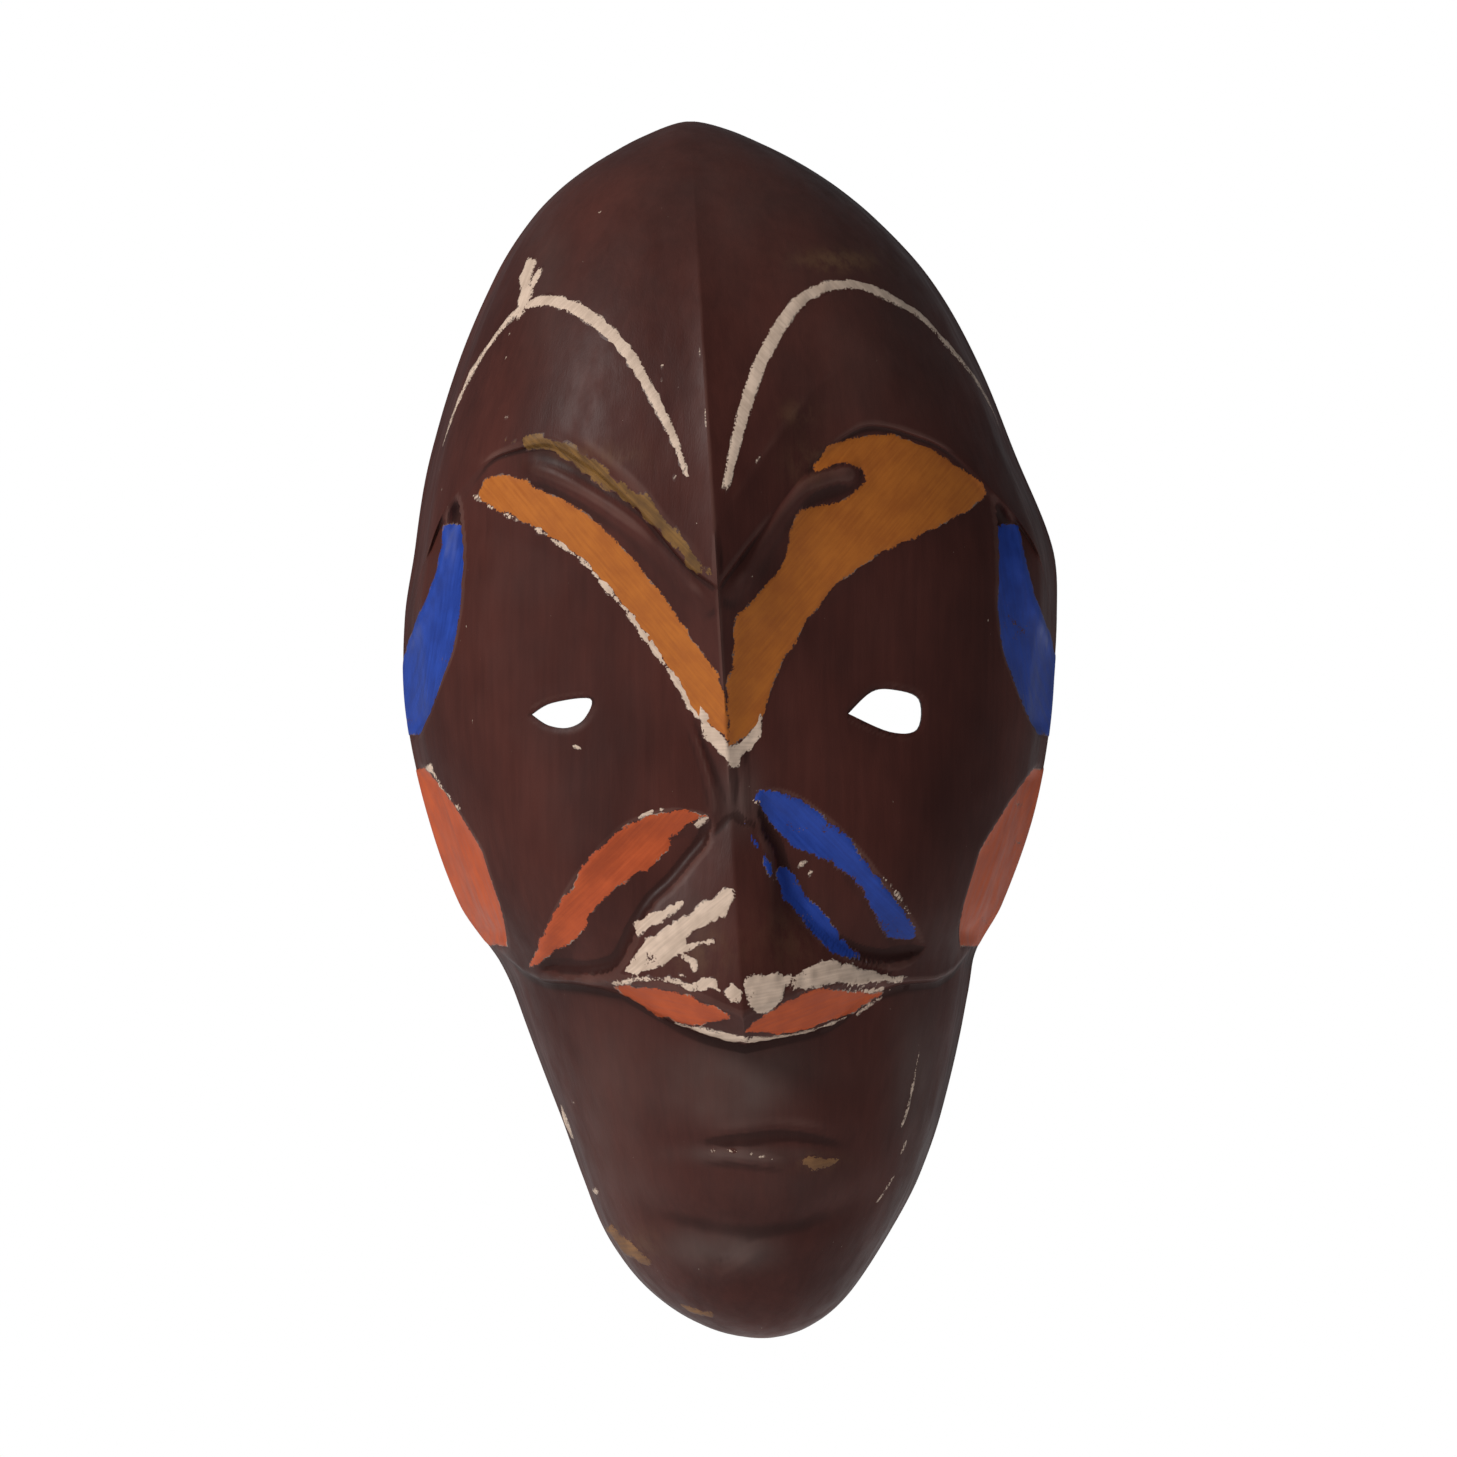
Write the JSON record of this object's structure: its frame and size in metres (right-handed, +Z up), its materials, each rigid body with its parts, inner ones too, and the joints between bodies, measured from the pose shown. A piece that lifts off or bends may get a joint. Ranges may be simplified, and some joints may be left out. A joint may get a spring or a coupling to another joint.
{
  "type": "carved wooden wall mask",
  "caption": "Carved, hollow-backed wooden wall mask with a domed forehead, hooded brow, pierced eyes, painted hollows, long jaw and a recessed hanging ring.",
  "frame": {"origin": "on the flat land of the back, on the wall plane, between the hanger's pocket and the top of the hollow, straight below the hanging ring", "axes": "+Z up along the face from chin to crown, +Y out of the flat back towards the wall, so the face looks along -Y, and +X to the viewer's right in the front view"},
  "size_m": [0.1612, 0.0806, 0.3],
  "materials": {
    "carved_wood": "satin dark red-brown lacquer, worn at the ridges",
    "ochre_paint": "satin brushed paint on wood",
    "olive_paint": "thin worn paint on wood",
    "blue_paint": "satin brushed paint on wood",
    "red_paint": "satin brushed paint on wood",
    "cream_paint": "chalky chipped paint on wood",
    "hanger_steel": "dull zinc-yellow plating",
    "screw_steel": "dull plating"
  },
  "bodies": {
    "mask": {"mask_body": "carved_wood", "brow_ochre_left": "ochre_paint", "brow_ochre_right": "ochre_paint", "brow_cream_tip": "cream_paint", "brow_olive_left": "olive_paint", "temple_blue_left": "blue_paint", "temple_blue_right": "blue_paint", "cheek_red_left": "red_paint", "cheek_red_right": "red_paint", "leaf_red_left": "red_paint", "leaf_blue_right": "blue_paint", "leaf_blue_right_lower": "blue_paint", "nose_cream_left": "cream_paint", "nose_cream_right": "cream_paint", "lip_red_left": "red_paint", "lip_red_right": "red_paint", "lip_cream_edge": "cream_paint", "forehead_line_left": "cream_paint", "forehead_line_right": "cream_paint", "hanger_plate": "hanger_steel", "hanger_screw_upper": "screw_steel", "hanger_screw_lower": "screw_steel"},
    "ring": {"hanger_ring": "hanger_steel"}
  },
  "joints": [
    {"name": "ring_swing", "type": "hinge", "parent": "mask", "child": "ring", "pos_m": [0, -0.0032, 0.0325], "axis": [1, 0, 0], "range_deg": [0, 180]}
  ]
}
